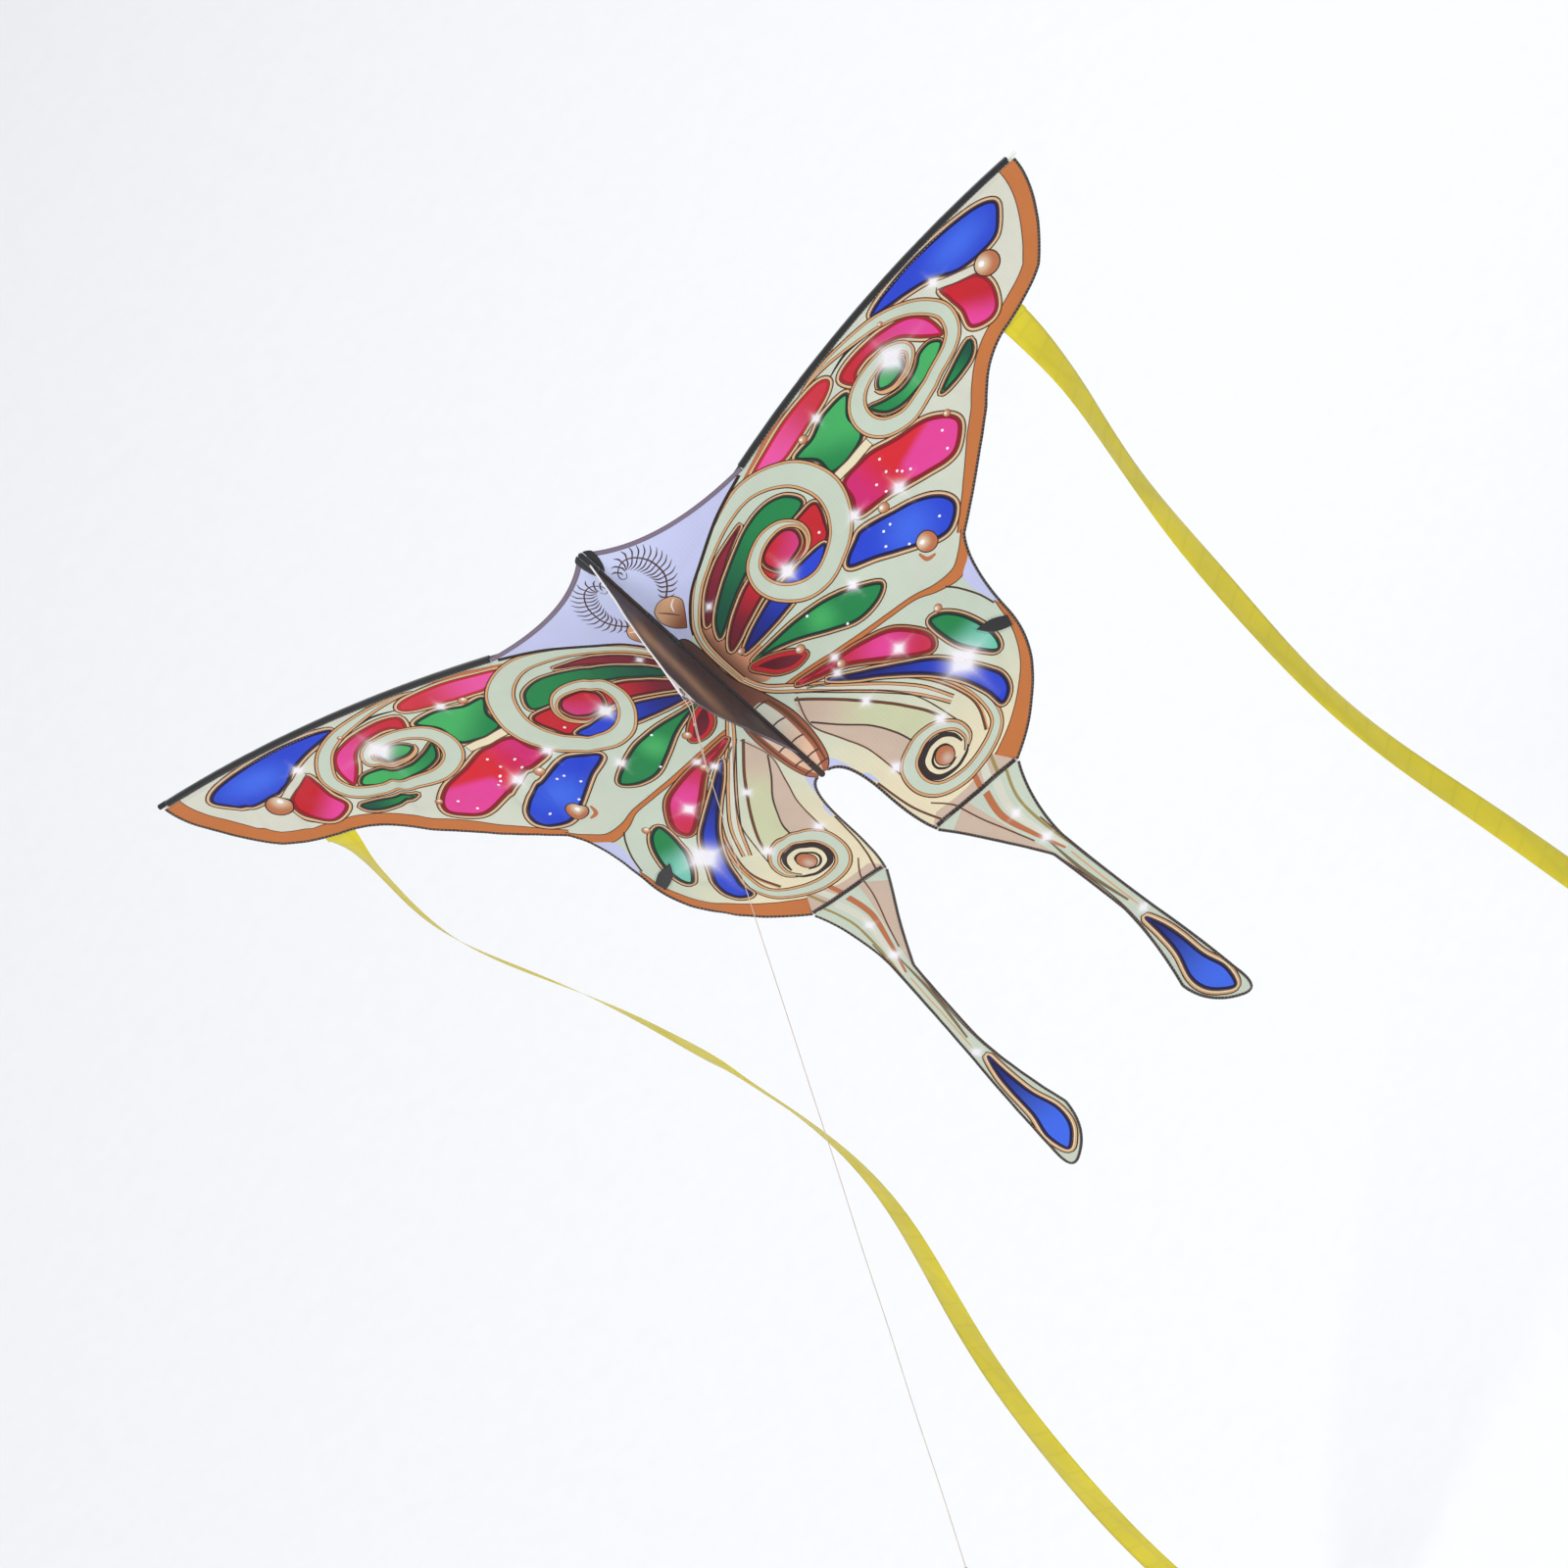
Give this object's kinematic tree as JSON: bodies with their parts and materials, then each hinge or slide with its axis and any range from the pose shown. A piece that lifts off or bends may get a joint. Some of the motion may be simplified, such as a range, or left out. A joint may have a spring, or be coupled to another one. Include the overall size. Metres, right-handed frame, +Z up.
{
  "type": "butterfly kite",
  "caption": "Butterfly-shaped kite with a printed sail, swallow tails, a cloth keel, ribbon streamers and a taut flying line.",
  "frame": {"origin": "centre of the tow eyelet at the tip of the keel", "axes": "+Z up the spine towards the nose, -Y the way the printed face and the keel look, X across the wings"},
  "size_m": [1.394, 1.1366, 2.0487],
  "materials": {
    "rod": "satin pultruded glass-fibre rod",
    "printed_cloth": "printed plain-weave polyester",
    "dark_cloth": "woven polyester tape",
    "brown_cloth": "woven polyester",
    "keel_cloth": "plain-weave polyester with a faint sheen",
    "white_cloth": "woven tape",
    "mauve_tape": "folded binding tape",
    "yellow_cloth": "thin ribbon cloth",
    "black_plastic": "moulded, satin",
    "white_plastic": "moulded, satin",
    "eyelet_metal": "pressed and polished",
    "line_cord": "braided polyester"
  },
  "bodies": {
    "spine": {"spine_rod": "rod", "spine_sleeve": "dark_cloth", "nose_cap": "dark_cloth", "tail_pocket": "brown_cloth", "spine_clips": "black_plastic"},
    "right_wing": {"right_wing_rod": "rod", "right_rod_sleeve": "dark_cloth", "right_tip_cap": "white_plastic", "right_rod_socket": "black_plastic", "right_strut": "rod", "right_strut_socket": "black_plastic", "right_strut_pocket": "dark_cloth", "right_sail": "printed_cloth", "right_head_binding": "mauve_tape", "right_trailing_hem": "dark_cloth", "right_inner_hem": "dark_cloth", "right_seam_tape": "dark_cloth", "right_ribbon_tab": "yellow_cloth"},
    "left_wing": {"left_wing_rod": "rod", "left_rod_sleeve": "dark_cloth", "left_tip_cap": "black_plastic", "left_rod_socket": "black_plastic", "left_strut": "rod", "left_strut_socket": "black_plastic", "left_strut_pocket": "dark_cloth", "left_sail": "printed_cloth", "left_head_binding": "mauve_tape", "left_trailing_hem": "dark_cloth", "left_inner_hem": "dark_cloth", "left_seam_tape": "dark_cloth", "left_ribbon_tab": "yellow_cloth"},
    "right_tail": {"right_swallowtail": "printed_cloth", "right_tail_binding": "dark_cloth"},
    "left_tail": {"left_swallowtail": "printed_cloth", "left_tail_binding": "dark_cloth"},
    "right_streamer": {"right_ribbon": "yellow_cloth"},
    "left_streamer": {"left_ribbon": "yellow_cloth"},
    "keel": {"keel_panel": "keel_cloth", "keel_piping": "white_cloth", "keel_rear_binding": "mauve_tape", "keel_patch": "white_cloth", "tow_eyelet": "eyelet_metal"},
    "line": {"tow_loop": "line_cord", "line_knot": "line_cord", "flying_line": "line_cord", "line_end_loop": "line_cord"}
  },
  "joints": [
    {"name": "right_wing_fold", "type": "hinge", "parent": "spine", "child": "right_wing", "pos_m": [0, 0.131, 0], "axis": [0, 0, 1], "range_deg": [-18, 40]},
    {"name": "left_wing_fold", "type": "hinge", "parent": "spine", "child": "left_wing", "pos_m": [0, 0.131, 0], "axis": [0, 0, -1], "range_deg": [-18, 40]},
    {"name": "keel_swing", "type": "hinge", "parent": "spine", "child": "keel", "pos_m": [0, 0.131, 0], "axis": [0, 0, 1], "range_deg": [-50, 50]},
    {"name": "line_swing", "type": "hinge", "parent": "keel", "child": "line", "pos_m": [0, 0, 0], "axis": [1, 0, 0], "range_deg": [-40, 40]},
    {"name": "right_tail_swing", "type": "hinge", "parent": "right_wing", "child": "right_tail", "pos_m": [0.10557, 0.1653, -0.5155], "axis": [-0.9406, -0.3056, 0.1476], "range_deg": [-50, 50]},
    {"name": "left_tail_swing", "type": "hinge", "parent": "left_wing", "child": "left_tail", "pos_m": [-0.10557, 0.1653, -0.5155], "axis": [-0.9406, 0.3056, -0.1476], "range_deg": [-50, 50]},
    {"name": "right_ribbon_swing", "type": "hinge", "parent": "right_wing", "child": "right_streamer", "pos_m": [0.55066, 0.30992, -0.0792], "axis": [-1, 0, 0], "range_deg": [-50, 50]},
    {"name": "left_ribbon_swing", "type": "hinge", "parent": "left_wing", "child": "left_streamer", "pos_m": [-0.55066, 0.30992, -0.0792], "axis": [-1, 0, 0], "range_deg": [-50, 50]}
  ]
}
